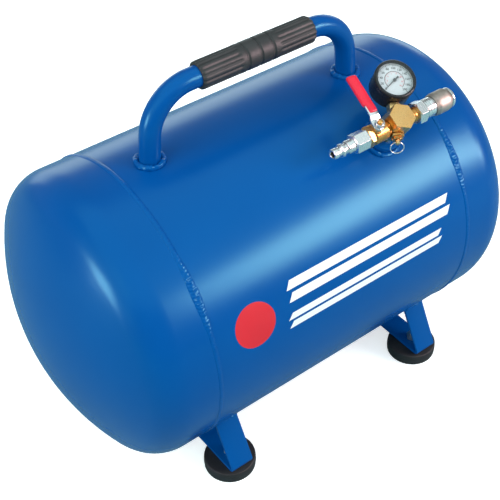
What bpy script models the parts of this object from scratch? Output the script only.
"""Portable air receiver tank: a horizontal steel tank with a carry handle, four feet and its air fittings.

Run with: blender --background --python part.py
The tank's axis is X, its front faces -Y and the rubber feet stand on Z = 0.
Sizes are in millimetres and angles in degrees; add_piece turns them into metres.
"""

import math

import bmesh
import bpy
from mathutils import Matrix, Vector

MM = 0.001
GAP = 0.3

# Tank
TANK_RADIUS = 139.7
WALL = 2.5
SEAM_X = 145.6
HEAD_FLANGE = 27.6
KNUCKLE_RADIUS = 39.7
CROWN_RADIUS = 232.3
AXIS_HEIGHT = 153.2
TANK_SEGMENTS = 48
SEAM_WIDTH = 7.0
SEAM_HEIGHT = 1.6

# Carry handle
HANDLE_X = -2.7
HANDLE_HALF_SPAN = 109.0
HANDLE_RISE = 62.6
HANDLE_SPLAY = 5.3
HANDLE_BEND = 42.0
HANDLE_TUBE = 9.5
HANDLE_BORE = 8.0
GRIP_LENGTH = 120.0
GRIP_RADIUS = 12.6
WELD_BEAD = 2.4

# Feet
FOOT_X = 119.3
FOOT_Y = 109.2
FOOT_RADIUS = 25.0
FOOT_HEIGHT = 12.7
STRAP_WIDTH = 24.0
STRAP_THICKNESS = 3.0
BOLT_RADIUS = 3.0
BOLT_TOP = 24.0

# Fittings: one hexagonal manifold stands square to the shell and carries four fittings
MANIFOLD_X = 83.3
MANIFOLD_ANGLE = 32.8
MANIFOLD_FLATS = 22.0
MANIFOLD_BASE = 17.0
MANIFOLD_TOP = 44.1
PORT_HEIGHT = 29.4
PORT_BORE = 4.4
PORT_DEPTH = 3.2
GALLERY = 3.0
FIRST_FACE = MANIFOLD_FLATS / 2 + GAP
THREAD_START = FIRST_FACE - PORT_DEPTH + GAP
BUNG_RADIUS = 15.0
BUNG_HEIGHT = 8.0
NIPPLE_RADIUS = 6.3

# Ball valve, measured along the valve from the manifold's axis
STEM_STATION = 26.0
VALVE_END = 35.0
VALVE_TILT = 10.0
BALL_RADIUS = 5.0
LEVER_HEIGHT = 13.0
LEVER_LENGTH = 49.5
LEVER_WIDTH = 10.4
LEVER_TONGUE = 5.4
LEVER_SLEEVE_START = 11.5
LEVER_TURN = 8.6

# Male plug and quick coupler, measured from the manifold's axis
PLUG_HEX_END = 49.5
PLUG_TIP = 72.6
COUPLER_HEX_START = 22.0
COUPLER_HEX_END = 31.0
SKIRT_START = 32.8
SKIRT_END = 43.2
COUPLER_END = 65.0
SLEEVE_TRAVEL = 4.0
POPPET_TRAVEL = 3.5

# Pressure gauge
GAUGE_ANGLE = 60.0
GAUGE_DISTANCE = 37.1
GAUGE_TURN = -8.0
GAUGE_RADIUS = 18.6
GAUGE_BACK = -9.0
GAUGE_DIAL = 9.3
GAUGE_ZERO = 135.0

# Safety relief valve
RELIEF_ANGLE = -120.0
RELIEF_END = 16.0
RELIEF_EYE = 18.0
RING_RADIUS = 5.9
RING_WIRE = 0.7


# Materials: base colour, roughness, metallic
FINISHES = {
    "blue_powder_coat": ((0.004, 0.105, 0.396), 0.32, 0.0),
    "black_rubber": ((0.012, 0.012, 0.013), 0.75, 0.0),
    "grip_plastic": ((0.032, 0.032, 0.031), 0.6, 0.0),
    "brass": ((0.72, 0.45, 0.16), 0.28, 1.0),
    "nickel_plate": ((0.72, 0.70, 0.66), 0.25, 1.0),
    "zinc_plate": ((0.60, 0.60, 0.58), 0.38, 1.0),
    "red_vinyl": ((0.80, 0.02, 0.045), 0.45, 0.0),
    "gauge_black": ((0.01, 0.01, 0.011), 0.35, 0.0),
    "dial_white": ((0.85, 0.85, 0.83), 0.5, 0.0),
    "clear_lens": ((0.95, 0.97, 0.97), 0.05, 0.0),
    "ptfe": ((0.88, 0.88, 0.86), 0.5, 0.0),
    "spring_steel": ((0.55, 0.55, 0.56), 0.3, 1.0),
}


def make_materials():
    made = {}
    for name, (colour, roughness, metallic) in FINISHES.items():
        material = bpy.data.materials.new(name)
        material.use_nodes = True
        shader = material.node_tree.nodes["Principled BSDF"]
        shader.inputs["Base Color"].default_value = (*colour, 1.0)
        shader.inputs["Roughness"].default_value = roughness
        shader.inputs["Metallic"].default_value = metallic
        material.diffuse_color = (*colour, 1.0)
        made[name] = material
    return made


def clear_scene():
    for item in list(bpy.data.objects):
        bpy.data.objects.remove(item)


# Shapes -------------------------------------------------------------------------------------------


def arc(centre, radius, start, end, steps):
    """Points on an arc, from one angle to the other, both included."""
    angles = [math.radians(start + (end - start) * step / steps) for step in range(steps + 1)]
    return [(centre[0] + radius * math.cos(a), centre[1] + radius * math.sin(a)) for a in angles]


def hexagon_factor(angle):
    """How much farther a hexagon's side is than the middle of its flat, seen at this angle."""
    return 1 / math.cos(math.radians((math.degrees(angle) % 60) - 30))


def turned(profile, segments=24):
    """A solid turned about Z from an outline of (radius, height) points.

    An outline that touches the axis is closed there; any other runs back to its first point.
    A point with a third value, "hex", stands on a hexagon with that half width across its flats.
    """
    bm = bmesh.new()
    rings = []
    for radius, height, *shape in profile:
        if radius < 1e-6:
            rings.append([bm.verts.new((0, 0, height))])
            continue
        ring = []
        for step in range(segments):
            angle = 2 * math.pi * step / segments
            reach = radius * (hexagon_factor(angle) if shape else 1)
            ring.append(bm.verts.new((reach * math.cos(angle), reach * math.sin(angle), height)))
        rings.append(ring)
    touches_axis = any(len(ring) == 1 for ring in rings)
    following = rings[1:] if touches_axis else rings[1:] + rings[:1]
    for ring, after in zip(rings, following):
        for step in range(segments):
            beside = (step + 1) % segments
            corners = (ring[step % len(ring)], ring[beside % len(ring)],
                       after[beside % len(after)], after[step % len(after)])
            bm.faces.new(dict.fromkeys(corners))
    return bm


def extruded(outline, depth):
    """A prism from a flat XY outline, standing from Z = 0 to the depth."""
    bm = bmesh.new()
    face = bm.faces.new([bm.verts.new((x, y, 0)) for x, y in outline])
    pushed = bmesh.ops.extrude_face_region(bm, geom=[face])
    corners = [item for item in pushed["geom"] if isinstance(item, bmesh.types.BMVert)]
    bmesh.ops.translate(bm, verts=corners, vec=(0, 0, depth))
    return bm


def rounded_path(corners, radius, steps):
    """The corners' polyline with an arc of the given radius at each inner corner."""
    points = [Vector(corners[0])]
    for before, corner, after in zip(corners, corners[1:], corners[2:]):
        corner = Vector(corner)
        back = (Vector(before) - corner).normalized()
        ahead = (Vector(after) - corner).normalized()
        half = back.angle(ahead) / 2
        centre = corner + (back + ahead).normalized() * radius / math.sin(half)
        start = corner + back * radius / math.tan(half) - centre
        end = corner + ahead * radius / math.tan(half) - centre
        for step in range(steps + 1):
            points.append(centre + start.slerp(end, step / steps) * radius)
    points.append(Vector(corners[-1]))
    return points


def strip_outline(path, thickness):
    """The outline of a strip of the given thickness, laid on the left of a flat path."""
    normals = []
    for index in range(len(path)):
        along = (path[min(index + 1, len(path) - 1)] - path[max(index - 1, 0)]).normalized()
        normals.append(Vector((-along.y, along.x)))
    inner = [point + normal * thickness for point, normal in zip(path, normals)]
    return [tuple(point) for point in path + inner[::-1]]


def tube(path, radius, sides=8, bore=0.0, closed=False):
    """A round bar along a path; a bore makes it a tube that is open at both ends."""
    bm = bmesh.new()
    path = [Vector(point) for point in path]
    count = len(path)
    across = None
    walls = ([], [])
    for index, point in enumerate(path):
        before = path[index - 1] if closed or index else point
        after = path[(index + 1) % count] if closed or index < count - 1 else point
        along = (after - before).normalized()
        if across is None:
            across = along.orthogonal().normalized()
        across = (across - along * across.dot(along)).normalized()
        other = along.cross(across)
        for wall, reach in zip(walls, (radius, bore)):
            if not reach:
                continue
            turn = [2 * math.pi * side / sides for side in range(sides)]
            wall.append([bm.verts.new(point + (across * math.cos(a) + other * math.sin(a)) * reach)
                         for a in turn])
    for wall in walls:
        pairs = list(zip(wall, wall[1:])) + ([(wall[-1], wall[0])] if closed and wall else [])
        for ring, after in pairs:
            skin_between(bm, ring, after)
    outer, inner = walls
    if closed:
        return bm
    for end in (0, -1):
        if inner:
            skin_between(bm, outer[end], inner[end])
        else:
            bm.faces.new(outer[end])
    return bm


def skin_between(bm, ring, after):
    """Quads between two rings of as many points."""
    for side in range(len(ring)):
        beside = (side + 1) % len(ring)
        bm.faces.new((ring[side], ring[beside], after[beside], after[side]))


def coil(radius, wire, turns, length, steps_per_turn=10):
    """A compression spring about Z, from Z = 0 to the length, with its wire inside that length."""
    steps = int(turns * steps_per_turn)
    rise = length - 2 * wire
    path = [(radius * math.cos(2 * math.pi * step / steps_per_turn),
             radius * math.sin(2 * math.pi * step / steps_per_turn),
             wire + rise * step / steps) for step in range(steps + 1)]
    return tube(path, wire, sides=6)


# Placing ------------------------------------------------------------------------------------------


def frame(origin, z_axis, x_axis):
    """A placement with Z along z_axis and X as near to x_axis as a right angle allows."""
    z_axis = Vector(z_axis).normalized()
    x_axis = Vector(x_axis)
    x_axis = (x_axis - z_axis * x_axis.dot(z_axis)).normalized()
    y_axis = z_axis.cross(x_axis)
    placed = Matrix((x_axis, y_axis, z_axis)).transposed().to_4x4()
    placed.translation = Vector(origin)
    return placed


def shifted(placement, x=0.0, y=0.0, z=0.0):
    return placement @ Matrix.Translation((x, y, z))


def add_piece(name, bm, finish, placement, materials, parent=None):
    """Makes the object of a sub-part from a mesh and a placement in millimetres."""
    bmesh.ops.recalc_face_normals(bm, faces=bm.faces)
    bmesh.ops.scale(bm, vec=(MM, MM, MM), verts=bm.verts)
    mesh = bpy.data.meshes.new(name)
    bm.to_mesh(mesh)
    bm.free()
    mesh.materials.append(materials[finish])
    mesh.shade_smooth()
    mesh.set_sharp_from_angle(angle=math.radians(35))
    piece = bpy.data.objects.new(name, mesh)
    bpy.context.scene.collection.objects.link(piece)
    placement = placement.copy()
    placement.translation *= MM
    piece.matrix_world = placement
    if parent:
        bpy.context.view_layer.update()
        piece.parent = parent
        piece.matrix_parent_inverse = parent.matrix_world.inverted()
    return piece


def combine(piece, operation, name, bm, placement, materials):
    """Cuts a helper solid out of a piece, or joins it on, with a Boolean modifier."""
    finish = piece.data.materials[0].name
    helper = add_piece(name, bm, finish, placement, materials)
    helper.hide_render = True
    helper.display_type = "WIRE"
    modifier = piece.modifiers.new(name, "BOOLEAN")
    modifier.operation = operation
    modifier.object = helper


def bar(radius, start, end, segments=24):
    """A plain round bar about Z, for cutting and joining."""
    return turned([(0, start), (radius, start), (radius, end), (0, end)], segments)


def shell_height(y):
    """Height above the floor of the shell's top surface at this Y."""
    return AXIS_HEIGHT + math.sqrt(TANK_RADIUS**2 - y**2)


TANK = frame((0, 0, AXIS_HEIGHT), (1, 0, 0), (0, 0, 1))
OUTWARD = Vector((0, -math.sin(math.radians(MANIFOLD_ANGLE)), math.cos(math.radians(MANIFOLD_ANGLE))))
ROOT = frame(Vector((MANIFOLD_X, 0, AXIS_HEIGHT)) + OUTWARD * TANK_RADIUS, OUTWARD, (1, 0, 0))
PORTS = shifted(ROOT, z=PORT_HEIGHT)


def port_frame(angle):
    """At the ports' crossing: Z out along the port at this angle, X away from the tank."""
    turn = math.radians(angle)
    direction = PORTS.to_3x3() @ Vector((math.cos(turn), math.sin(turn), 0))
    return frame(PORTS.translation, direction, OUTWARD)


def spun(placement, angle):
    """The placement turned about its own Z by this many degrees."""
    return placement @ Matrix.Rotation(math.radians(angle), 4, "Z")


# Tank ---------------------------------------------------------------------------------------------


def head_profile():
    """Dished head about Z from its open rim at the seam: outer side to the pole, inner side back."""
    rim = SEAM_X + GAP / 2
    tangent = SEAM_X + HEAD_FLANGE
    crown_angle = math.degrees(math.asin((TANK_RADIUS - KNUCKLE_RADIUS) / (CROWN_RADIUS - KNUCKLE_RADIUS)))
    crown_centre = tangent - math.sqrt((CROWN_RADIUS - KNUCKLE_RADIUS)**2 - (TANK_RADIUS - KNUCKLE_RADIUS)**2)

    def side(inset, knuckle_steps, crown_steps):
        knuckle = arc((TANK_RADIUS - KNUCKLE_RADIUS, tangent), KNUCKLE_RADIUS - inset,
                      0, 90 - crown_angle, knuckle_steps)
        crown = arc((0, crown_centre), CROWN_RADIUS - inset, 90 - crown_angle, 90, crown_steps)
        return [(TANK_RADIUS - inset, rim)] + knuckle + crown[1:-1] + [(0, crown[-1][1])]

    outer = side(0, knuckle_steps=4, crown_steps=4)
    inner = side(WALL, knuckle_steps=3, crown_steps=2)
    return outer, inner[::-1]


def build_tank(materials):
    shell = add_piece(
        "tank_shell",
        turned([(TANK_RADIUS, -SEAM_X + GAP / 2), (TANK_RADIUS, SEAM_X - GAP / 2),
                (TANK_RADIUS - WALL, SEAM_X - GAP / 2), (TANK_RADIUS - WALL, -SEAM_X + GAP / 2)],
               TANK_SEGMENTS),
        "blue_powder_coat", TANK, materials)
    combine(shell, "DIFFERENCE", "shell_air_hole", bar(NIPPLE_RADIUS, -3 * WALL, WALL), ROOT, materials)
    below = frame((0, 0, AXIS_HEIGHT - TANK_RADIUS), (0, 0, -1), (1, 0, 0))
    combine(shell, "DIFFERENCE", "shell_drain_hole", bar(NIPPLE_RADIUS, -3 * WALL, WALL), below, materials)

    outer, inner = head_profile()
    for name, direction in (("left_head", -1), ("right_head", 1)):
        placement = frame((0, 0, AXIS_HEIGHT), (direction, 0, 0), (0, 0, 1))
        add_piece(name, head_solid(outer, inner), "blue_powder_coat", placement, materials)

    inside = TANK_RADIUS + GAP
    half = SEAM_WIDTH / 2
    bead = [(inside, -half), (inside + SEAM_HEIGHT * 0.75, -half * 0.62), (inside + SEAM_HEIGHT, 0),
            (inside + SEAM_HEIGHT * 0.75, half * 0.62), (inside, half)]
    for name, x in (("left_seam_weld", -SEAM_X), ("right_seam_weld", SEAM_X)):
        add_piece(name, turned(bead, TANK_SEGMENTS), "blue_powder_coat", shifted(TANK, z=x), materials)


def head_solid(outer, inner):
    """Both sides of a head as one closed skin: rim to pole outside, pole to rim inside."""
    bm = turned(outer, TANK_SEGMENTS)
    lining = turned(inner, TANK_SEGMENTS)
    mesh = bpy.data.meshes.new("lining")
    lining.to_mesh(mesh)
    lining.free()
    bm.from_mesh(mesh)
    bpy.data.meshes.remove(mesh)
    rims = [edge for edge in bm.edges if edge.is_boundary]
    bmesh.ops.bridge_loops(bm, edges=rims)
    return bm


# Handle -------------------------------------------------------------------------------------------


def handle_path():
    """Centre line of the handle tube from one foot to the other, above the top of the tank."""
    splay = math.radians(HANDLE_SPLAY)
    bend_z = HANDLE_RISE - HANDLE_BEND
    knee_z = bend_z + HANDLE_BEND * math.sin(splay)
    bend_x = HANDLE_HALF_SPAN - HANDLE_BEND * math.cos(splay) - knee_z * math.tan(splay)
    sunk = 2 * HANDLE_TUBE
    foot = (HANDLE_HALF_SPAN + sunk * math.tan(splay), -sunk)
    right = [foot] + arc((bend_x, bend_z), HANDLE_BEND, HANDLE_SPLAY, 90, 6)
    left = [(-x, z) for x, z in reversed(right)]
    return [(x, 0, z) for x, z in right + left]


def build_handle(materials):
    top = frame((HANDLE_X, 0, AXIS_HEIGHT + TANK_RADIUS), (0, 0, 1), (1, 0, 0))
    handle = add_piece("carry_handle", tube(handle_path(), HANDLE_TUBE, 14, HANDLE_BORE),
                       "blue_powder_coat", top, materials)
    combine(handle, "DIFFERENCE", "handle_saddle_cut",
            bar(TANK_RADIUS + GAP, -SEAM_X, SEAM_X, TANK_SEGMENTS), TANK, materials)

    reach = HANDLE_TUBE + WELD_BEAD + 2 * GAP
    for name, side in (("handle_weld_left", -1), ("handle_weld_right", 1)):
        foot_x = HANDLE_X + side * HANDLE_HALF_SPAN
        path = []
        for step in range(20):
            angle = 2 * math.pi * step / 20
            y = reach * math.sin(angle)
            path.append((foot_x + reach * math.cos(angle), y, shell_height(y) + WELD_BEAD + GAP))
        add_piece(name, tube(path, WELD_BEAD, 6, closed=True), "blue_powder_coat", Matrix(), materials)

    add_piece("handle_grip", turned(grip_profile(), 28), "grip_plastic",
              frame((0, 0, AXIS_HEIGHT + TANK_RADIUS + HANDLE_RISE), (1, 0, 0), (0, 0, 1)), materials)


def grip_profile():
    """Moulded sleeve with rounded ends and three grooves round its middle."""
    half = GRIP_LENGTH / 2
    points = [(HANDLE_TUBE + GAP, -half), (GRIP_RADIUS - 1.5, -half), (GRIP_RADIUS, -half + 2)]
    for middle in (-13.5, 0, 13.5):
        points += [(GRIP_RADIUS, middle - 1.2), (GRIP_RADIUS - 1, middle), (GRIP_RADIUS, middle + 1.2)]
    points += [(GRIP_RADIUS, half - 2), (GRIP_RADIUS - 1.5, half), (HANDLE_TUBE + GAP, half)]
    return points


# Feet ---------------------------------------------------------------------------------------------


def bracket_outline():
    """Side view of a folded strap in (distance from the middle, height): outer leg, sole, inner leg."""
    sole = FOOT_HEIGHT + GAP
    corners = [(98.0, sole + 64.0), (133.0, sole), (66.0, sole), (30.0, sole + 9.0)]
    return strip_outline(rounded_path(corners, 4.5, 3)[::-1], STRAP_THICKNESS)


def build_feet(materials):
    for side_name, side in (("front", -1), ("rear", 1)):
        for end_name, end in (("left", -1), ("right", 1)):
            name = f"{side_name}_{end_name}"
            centre = (end * FOOT_X, side * FOOT_Y, 0)
            edge = (end * FOOT_X - side * STRAP_WIDTH / 2, 0, 0)
            profile_frame = frame(edge, (side, 0, 0), (0, side, 0))
            bracket = add_piece(f"{name}_foot_bracket", extruded(bracket_outline(), STRAP_WIDTH),
                                "blue_powder_coat", profile_frame, materials)
            combine(bracket, "DIFFERENCE", f"{name}_bracket_saddle",
                    bar(TANK_RADIUS + GAP, -SEAM_X, SEAM_X, TANK_SEGMENTS), TANK, materials)
            upright = frame(centre, (0, 0, 1), (1, 0, 0))
            combine(bracket, "DIFFERENCE", f"{name}_bracket_hole",
                    bar(BOLT_RADIUS + GAP, 0, BOLT_TOP, 16), upright, materials)
            add_foot(name, upright, materials)


def add_foot(name, upright, materials):
    """Rubber disc with the bolt that holds it, its head sunk into the disc, and the bolt's nut."""
    recess, head_radius, head_height = 3.0, 6.5, 3.5
    hole = BOLT_RADIUS + GAP
    recess_radius, recess_top, edge = head_radius + 1, recess + head_height + GAP, 1.5
    disc = [(recess_radius, 0), (FOOT_RADIUS - edge, 0), (FOOT_RADIUS, edge),
            (FOOT_RADIUS, FOOT_HEIGHT - edge), (FOOT_RADIUS - edge, FOOT_HEIGHT),
            (hole, FOOT_HEIGHT), (hole, recess_top), (recess_radius, recess_top)]
    add_piece(f"{name}_rubber_foot", turned(disc, 28), "black_rubber", upright, materials)
    bolt = [(0, recess), (head_radius, recess), (head_radius, recess + head_height),
            (BOLT_RADIUS, recess + head_height), (BOLT_RADIUS, BOLT_TOP - 0.8), (BOLT_RADIUS - 0.8, BOLT_TOP),
            (0, BOLT_TOP)]
    add_piece(f"{name}_foot_bolt", turned(bolt, 12), "zinc_plate", upright, materials)
    seat = FOOT_HEIGHT + STRAP_THICKNESS + 2 * GAP
    nut = [(hole, seat), (5.0, seat, "hex"), (5.0, seat + 4.6, "hex"), (4.4, seat + 5.0), (hole, seat + 5.0)]
    add_piece(f"{name}_foot_nut", turned(nut, 12), "zinc_plate", upright, materials)


# Drain --------------------------------------------------------------------------------------------


def build_drain(materials):
    below = frame((0, 0, AXIS_HEIGHT - TANK_RADIUS), (0, 0, -1), (1, 0, 0))
    bung = add_piece("drain_bung", turned([(NIPPLE_RADIUS + GAP, -4), (12, -4), (12, 4), (11, 5),
                                           (NIPPLE_RADIUS + GAP, 5)]), "blue_powder_coat", below, materials)
    combine(bung, "DIFFERENCE", "drain_saddle_cut",
            bar(TANK_RADIUS + GAP, -30, 30, TANK_SEGMENTS), TANK, materials)
    add_piece("drain_plug", turned([(0, -2), (NIPPLE_RADIUS - GAP, -2), (NIPPLE_RADIUS - GAP, 5 + GAP),
                                    (8, 5 + GAP, "hex"), (8, 9, "hex"), (7, 9.6), (0, 9.6)]),
              "zinc_plate", below, materials)


# Manifold -----------------------------------------------------------------------------------------


def build_manifold(materials):
    bung = add_piece("tank_bung", turned([(NIPPLE_RADIUS + GAP, -6), (BUNG_RADIUS, -6),
                                          (BUNG_RADIUS, BUNG_HEIGHT - 1), (BUNG_RADIUS - 1, BUNG_HEIGHT),
                                          (NIPPLE_RADIUS + GAP, BUNG_HEIGHT)], 28),
                     "blue_powder_coat", ROOT, materials)
    combine(bung, "DIFFERENCE", "bung_saddle_cut",
            bar(TANK_RADIUS + GAP, -SEAM_X, SEAM_X, TANK_SEGMENTS), TANK, materials)

    reach = BUNG_RADIUS + WELD_BEAD + 2 * GAP
    path = []
    for step in range(24):
        angle = 2 * math.pi * step / 24
        across = reach * math.sin(angle)
        drop = TANK_RADIUS - math.sqrt(TANK_RADIUS**2 - across**2)
        path.append((reach * math.cos(angle), across, WELD_BEAD + GAP - drop))
    add_piece("bung_weld", tube(path, WELD_BEAD, 6, closed=True), "blue_powder_coat", ROOT, materials)

    hex_start, hex_end = BUNG_HEIGHT + GAP, MANIFOLD_BASE - GAP
    nipple = [(3.5, -1), (NIPPLE_RADIUS, -1), (NIPPLE_RADIUS, hex_start), (7, hex_start, "hex"),
              (7, hex_end, "hex"), (PORT_BORE - GAP, hex_end), (PORT_BORE - GAP, hex_end + PORT_DEPTH),
              (3.5, hex_end + PORT_DEPTH)]
    add_piece("manifold_nipple", turned(nipple), "brass", ROOT, materials)

    half = MANIFOLD_FLATS / 2
    block = [(0, MANIFOLD_BASE), (half - 1, MANIFOLD_BASE), (half, MANIFOLD_BASE + 1, "hex"),
             (half, MANIFOLD_TOP - 1, "hex"), (half - 0.9, MANIFOLD_TOP), (0, MANIFOLD_TOP)]
    upright = ROOT @ Matrix.Rotation(math.radians(30), 4, "Z")
    manifold = add_piece("manifold_block", turned(block), "brass", upright, materials)
    inlet = [(0, MANIFOLD_BASE - 2), (PORT_BORE, MANIFOLD_BASE - 2), (PORT_BORE, hex_end + PORT_DEPTH + GAP),
             (GALLERY + 0.4, hex_end + PORT_DEPTH + GAP), (GALLERY + 0.4, PORT_HEIGHT), (0, PORT_HEIGHT)]
    combine(manifold, "DIFFERENCE", "manifold_inlet", turned(inlet), ROOT, materials)
    outside, port_end = half + 2, half - PORT_DEPTH
    ports = [(0, -outside), (PORT_BORE, -outside), (PORT_BORE, -port_end), (GALLERY, -port_end),
             (GALLERY, port_end), (PORT_BORE, port_end), (PORT_BORE, outside), (0, outside)]
    for name, angle in (("valve_and_coupler_ports", 0), ("gauge_and_relief_ports", GAUGE_ANGLE)):
        combine(manifold, "DIFFERENCE", name, turned(ports), port_frame(angle), materials)


# Ball valve and plug ------------------------------------------------------------------------------


def build_ball_valve(materials):
    flow = spun(port_frame(180), VALVE_TILT)
    chamber, bore = BALL_RADIUS + 0.4, 3.2
    chamber_start, chamber_end = STEM_STATION - 7, STEM_STATION + 7
    thread = PORT_BORE - GAP
    body = [(bore, THREAD_START), (thread, THREAD_START), (thread, FIRST_FACE),
            (7.5, FIRST_FACE), (7.5, 13.4), (9.2, 15.0), (9.2, VALVE_END - 6), (8.4, VALVE_END - 5, "hex"),
            (8.4, VALVE_END, "hex"), (7.0, VALVE_END), (chamber + 0.6, VALVE_END - 1),
            (chamber + 0.6, chamber_end), (chamber, chamber_end), (chamber, chamber_start),
            (bore, chamber_start)]
    valve = add_piece("valve_body", turned(body), "brass", flow, materials)
    across = flow.to_3x3()
    stem = spun(frame(shifted(flow, z=STEM_STATION).translation, across.col[0], across.col[1]), -LEVER_TURN)
    boss = [(1.5, 7.2), (5, 7.2), (5, 10), (1.5, 10)]
    combine(valve, "UNION", "valve_boss", turned(boss, 16), stem, materials)
    combine(valve, "DIFFERENCE", "valve_stem_hole", bar(2.3, 0, 14, 16), stem, materials)

    for name, station in (("valve_inner_seat", STEM_STATION - 5.7), ("valve_outer_seat", STEM_STATION + 3.9)):
        outer, inner, width = BALL_RADIUS + 0.1, 3.4, 1.8
        seat = [(inner, station), (outer, station), (outer, station + width), (inner, station + width)]
        add_piece(name, turned(seat, 18), "ptfe", flow, materials)

    spindle = [(0, 4.4), (2.0, 4.4), (2.0, 18.6), (1.4, 19.2), (0, 19.2)]
    spindle_piece = add_piece("valve_stem", turned(spindle, 14), "brass", stem, materials)
    sphere = [(0, -4.1)] + arc((0, 0), BALL_RADIUS, -55, 55, 6) + [(0, 4.1)]
    ball = add_piece("valve_ball", turned(sphere, 18), "nickel_plate", stem, materials, spindle_piece)
    combine(ball, "DIFFERENCE", "ball_bore", bar(2.6, -7, 7, 16),
            frame(stem.translation, stem.to_3x3().col[0], stem.to_3x3().col[2]), materials)

    nut = [(2.3, 10 + GAP), (4.5, 10 + GAP, "hex"), (4.5, 12.4, "hex"), (2.3, 12.4)]
    add_piece("valve_packing_nut", turned(nut, 12), "brass", stem, materials)
    build_lever(stem, spindle_piece, materials)


def build_lever(stem, spindle, materials):
    """Flat lever that steps up on its way out, its vinyl sleeve and the nut that holds it."""
    low, high, thickness = LEVER_HEIGHT - GAP, LEVER_HEIGHT + 2.2, 1.8
    path = [Vector(point) for point in ((-6, low), (6, low), (10, high), (LEVER_LENGTH - 1, high))]
    plate = frame(shifted(stem, y=LEVER_WIDTH / 2).translation, -stem.to_3x3().col[1], stem.to_3x3().col[0])
    strip = extruded(strip_outline(path, thickness), LEVER_WIDTH)
    lever = add_piece("valve_lever", strip, "nickel_plate", plate, materials, spindle)
    combine(lever, "DIFFERENCE", "lever_hole", bar(2.3, 0, 30, 14), stem, materials)
    start, trimmed, depth, above = LEVER_SLEEVE_START - 1, (LEVER_WIDTH - LEVER_TONGUE) / 2, 5, 2 * high
    sides = {"lever_narrowing_left": trimmed - depth, "lever_narrowing_right": LEVER_WIDTH - trimmed}
    for name, side_z in sides.items():
        cutter = extruded([(start, 0), (LEVER_LENGTH, 0), (LEVER_LENGTH, above), (start, above)], depth)
        combine(lever, "DIFFERENCE", name, cutter, shifted(plate, z=side_z), materials)

    above_stem = shifted(stem, z=high + thickness / 2).translation
    along = frame(above_stem, stem.to_3x3().col[0], stem.to_3x3().col[2])
    sleeve = add_piece("lever_sleeve", sleeve_solid(), "red_vinyl", along, materials, lever)
    pocket = extruded([(-1.3, -3.1), (1.3, -3.1), (1.3, 3.1), (-1.3, 3.1)], LEVER_LENGTH - LEVER_SLEEVE_START)
    inside = shifted(along, z=LEVER_SLEEVE_START - 0.5)
    combine(sleeve, "DIFFERENCE", "sleeve_pocket", pocket, inside, materials)

    top = low + thickness + GAP
    nut = [(2.3, top), (4.5, top), (4.5, top + 2.9), (4.0, top + 3.4), (3.4, top + 3.4), (3.4, top + 1.8),
           (2.3, top + 1.8)]
    add_piece("lever_nut", turned(nut, 18), "nickel_plate", stem, materials, lever)


def sleeve_solid():
    """Dipped vinyl sleeve about Z with an oval section and rounded ends."""
    stations = ((LEVER_SLEEVE_START, 0.82), (LEVER_SLEEVE_START + 1.5, 1.0), (LEVER_LENGTH - 1, 1.0),
                (LEVER_LENGTH + 1.0, 0.85), (LEVER_LENGTH + 2.2, 0.45))
    bm = turned([(0, stations[0][0])] + [(scale, z) for z, scale in stations] + [(0, stations[-1][0])], 16)
    for vert in bm.verts:
        vert.co.x *= 2.5
        vert.co.y *= 5.1
    return bm


def build_plug(materials):
    """Nickel-plated male plug: shank in the valve, hexagon, then the stepped nose with its bore."""
    start = VALVE_END + GAP
    bore = 2.6
    outline = [(bore, start - 3), (5.0, start - 3), (5.0, start), (7.0, start), (8.0, start + 1, "hex"),
               (8.0, PLUG_HEX_END, "hex"), (7.0, PLUG_HEX_END + 0.7), (6.1, PLUG_HEX_END + 0.7), (6.1, 57.4),
               (4.6, 58.4), (4.6, 61.0), (5.9, 61.6), (5.9, 64.0), (4.1, 65.0), (4.1, 67.0), (4.7, 67.6),
               (4.7, PLUG_TIP - 0.6), (4.1, PLUG_TIP), (bore, PLUG_TIP)]
    add_piece("air_plug", turned(outline), "nickel_plate", spun(port_frame(180), 30), materials)


# Quick coupler ------------------------------------------------------------------------------------


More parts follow.
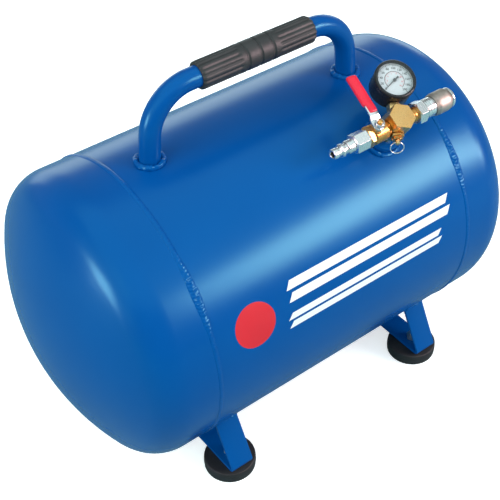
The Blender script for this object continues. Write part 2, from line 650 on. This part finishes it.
def build_coupler(materials):
    flow = spun(port_frame(0), 30)
    thread = PORT_BORE - GAP
    groove, mouth = COUPLER_HEX_END + 0.6, COUPLER_END - 3.4
    skirt, barrel, socket = 8.8, 7.8, 6.2
    seat = COUPLER_HEX_START + 6
    body = [(2.8, THREAD_START), (thread, THREAD_START), (thread, FIRST_FACE),
            (6.6, FIRST_FACE), (6.6, COUPLER_HEX_START), (8.4, COUPLER_HEX_START + 0.2),
            (9.2, COUPLER_HEX_START + 1, "hex"), (9.2, COUPLER_HEX_END, "hex"), (8.4, groove), (7.9, groove),
            (7.9, SKIRT_START), (skirt, SKIRT_START), (skirt, SKIRT_END), (barrel, SKIRT_END),
            (barrel, mouth), (socket, mouth), (socket, seat), (2.8, seat)]
    add_piece("coupler_body", turned(body), "nickel_plate", flow, materials)
    inside, step, start = barrel + GAP, SKIRT_END + SLEEVE_TRAVEL + 0.6, SKIRT_END - 0.8
    sleeve = [(inside, step), (skirt + GAP, step), (skirt + GAP, start), (9.7, start), (10.4, start + 2.6),
              (10.4, COUPLER_END - 6.4), (9.6, COUPLER_END - 4.2), (inside, COUPLER_END - 4.2)]
    add_piece("coupler_sleeve", turned(sleeve, 28), "nickel_plate", flow, materials)
    nose = [(socket, mouth + GAP), (9.0, mouth + GAP), (9.4, COUPLER_END - 2.6), (9.4, COUPLER_END - 1),
            (8.6, COUPLER_END), (socket + 0.6, COUPLER_END), (socket, COUPLER_END - 0.8)]
    add_piece("coupler_end_ring", turned(nose, 28), "nickel_plate", flow, materials)

    poppet_back = seat + POPPET_TRAVEL + 5.5
    poppet = [(0, poppet_back), (socket - 0.5, poppet_back), (socket - 0.5, poppet_back + 3.5),
              (4.2, poppet_back + 5), (0, poppet_back + 5)]
    add_piece("coupler_poppet", turned(poppet, 20), "brass", flow, materials)
    add_piece("poppet_spring", coil(4.6, 0.45, 4, poppet_back - seat - 2 * GAP, 9), "spring_steel",
              shifted(flow, z=seat + GAP), materials)


# Pressure gauge -----------------------------------------------------------------------------------


def gauge_frame():
    """At the gauge's centre on the port plane: Y is the dial's upright, Z faces away from the tank."""
    up = port_frame(GAUGE_ANGLE).to_3x3().col[2]
    face = Matrix.Rotation(math.radians(GAUGE_TURN), 3, up) @ OUTWARD
    return frame(PORTS.translation + up * GAUGE_DISTANCE, face, up.cross(face))


def build_gauge(materials):
    face = gauge_frame()
    stem = port_frame(GAUGE_ANGLE)
    thread = PORT_BORE - GAP
    entry = GAUGE_DISTANCE - GAUGE_RADIUS
    socket = [(1.5, THREAD_START), (thread, THREAD_START), (thread, FIRST_FACE), (5.5, FIRST_FACE, "hex"),
              (5.5, entry - GAP, "hex"), (4.0, entry - GAP), (4.0, entry + 7), (1.5, entry + 7)]
    add_piece("gauge_socket", turned(socket), "brass", stem, materials)

    wall, floor = 1.4, GAUGE_BACK + 1.4
    rim = GAUGE_DIAL - 1.8
    cup = [(0, GAUGE_BACK), (GAUGE_RADIUS - 2, GAUGE_BACK), (GAUGE_RADIUS, GAUGE_BACK + 2),
           (GAUGE_RADIUS, rim), (GAUGE_RADIUS - wall, rim), (GAUGE_RADIUS - wall, floor), (0, floor)]
    case = add_piece("gauge_case", turned(cup, 32), "gauge_black", face, materials)
    combine(case, "DIFFERENCE", "gauge_case_hole", bar(4 + GAP, entry - 3, entry + 3, 16), stem, materials)

    top = GAUGE_DIAL + 3.9
    bezel = [(GAUGE_RADIUS - wall, rim + GAP), (GAUGE_RADIUS + 0.5, rim + GAP),
             (GAUGE_RADIUS + 0.5, top - 1.2), (GAUGE_RADIUS - 0.7, top), (GAUGE_RADIUS - 1.9, top),
             (GAUGE_RADIUS - 1.9, top - 0.9), (GAUGE_RADIUS - wall, top - 0.9)]
    add_piece("gauge_bezel", turned(bezel, 32), "gauge_black", face, materials)
    dial_radius, dial_back = GAUGE_RADIUS - wall - GAP, GAUGE_DIAL - 0.8
    dial = [(1.3, dial_back), (dial_radius, dial_back), (dial_radius, GAUGE_DIAL), (1.3, GAUGE_DIAL)]
    add_piece("gauge_dial", turned(dial, 32), "dial_white", face, materials)
    lens_top = top - 0.9 - GAP
    lens = [(0, lens_top - 1.0), (dial_radius, lens_top - 1.0), (dial_radius, lens_top), (0, lens_top)]
    add_piece("gauge_lens", turned(lens, 32), "clear_lens", face, materials)

    coiled = tube([(x, y, 0) for x, y in arc((0, 0), 11, -70, 190, 14)], 1.3, 6)
    add_piece("bourdon_tube", coiled, "brass", shifted(face, z=-1), materials)
    plate = [(-5, -6), (5, -6), (5, 5), (-5, 5)]
    movement = add_piece("gauge_movement", extruded(plate, 3), "brass", shifted(face, z=2.5), materials)
    combine(movement, "DIFFERENCE", "movement_hole", bar(1.3, -1, 6, 12), shifted(face, z=2.5), materials)

    zero = face @ Matrix.Rotation(math.radians(GAUGE_ZERO), 4, "Z")
    right_edge = [(1.1, -6.2), (0.9, -2.5), (0.75, 4), (0.25, 13.5)]
    hand = right_edge + [(-x, y) for x, y in reversed(right_edge)]
    pointer = add_piece("gauge_pointer", extruded(hand, 0.5), "gauge_black",
                        shifted(zero, z=GAUGE_DIAL + 0.8), materials)
    hub = turned([(0, -6.5), (1.0, -6.5), (1.0, 0.2), (1.9, 0.2), (1.9, 0.9), (0, 0.9)], 12)
    combine(pointer, "UNION", "pointer_hub", hub, shifted(zero, z=GAUGE_DIAL + 0.8), materials)


# Relief valve -------------------------------------------------------------------------------------


def build_relief_valve(materials):
    flow = port_frame(RELIEF_ANGLE)
    thread = PORT_BORE - GAP
    start = THREAD_START
    body = [(1.5, start), (thread, start), (thread, FIRST_FACE), (5.5, FIRST_FACE, "hex"),
            (5.5, FIRST_FACE + 2.3, "hex"), (4.8, FIRST_FACE + 2.7), (4.8, RELIEF_END - 0.5),
            (4.3, RELIEF_END), (2.0, RELIEF_END), (2.0, RELIEF_END - 1.5), (3.4, RELIEF_END - 1.5),
            (3.4, start + 1), (1.5, start + 1)]
    cage = add_piece("relief_body", turned(body), "brass", flow, materials)
    for number in range(2):
        across = flow @ Matrix.Rotation(math.radians(90 * number + 45), 4, "Z")
        slot = extruded([(-0.7, -6), (0.7, -6), (0.7, 6), (-0.7, 6)], 3)
        at_end = shifted(across, z=RELIEF_END - 1.1)
        combine(cage, "DIFFERENCE", f"relief_slot_{number}", slot, at_end, materials)

    horizontal = flow.to_3x3().col[2].cross(Vector((0, 0, -1))).normalized()
    eye = flow.translation + flow.to_3x3().col[2] * RELIEF_EYE
    stem_frame = frame(flow.translation, flow.to_3x3().col[2], horizontal)
    pin = [(0, start + 1.3), (3.0, start + 1.3), (3.0, start + 2.8), (1.1, start + 2.8),
           (1.1, RELIEF_EYE - 1.9), (2.2, RELIEF_EYE - 1.6), (2.2, RELIEF_EYE + 1.6), (1.4, RELIEF_EYE + 2.2),
           (0, RELIEF_EYE + 2.2)]
    stem = add_piece("relief_stem", turned(pin, 14), "brass", stem_frame, materials)
    combine(stem, "DIFFERENCE", "relief_eye_hole", bar(RING_WIRE + 0.5, -5, 5, 12),
            frame(eye, horizontal, (0, 0, 1)), materials)
    seat = start + 2.8 + GAP
    add_piece("relief_spring", coil(2.35, 0.22, 2, RELIEF_END - 1.5 - GAP - seat, 8), "spring_steel",
              shifted(flow, z=seat), materials)

    turns = arc((0, -RING_RADIUS), RING_RADIUS, 0, 360, 20)[:-1]
    ring = tube([(x, 0, z) for x, z in turns], RING_WIRE, 6, closed=True)
    hanging = frame(eye, (0, 0, 1), horizontal)
    add_piece("relief_pull_ring", ring, "nickel_plate", hanging, materials, stem)


def build_all():
    clear_scene()
    materials = make_materials()
    build_tank(materials)
    build_handle(materials)
    build_feet(materials)
    build_drain(materials)
    build_manifold(materials)
    build_ball_valve(materials)
    build_plug(materials)
    build_coupler(materials)
    build_gauge(materials)
    build_relief_valve(materials)


build_all()
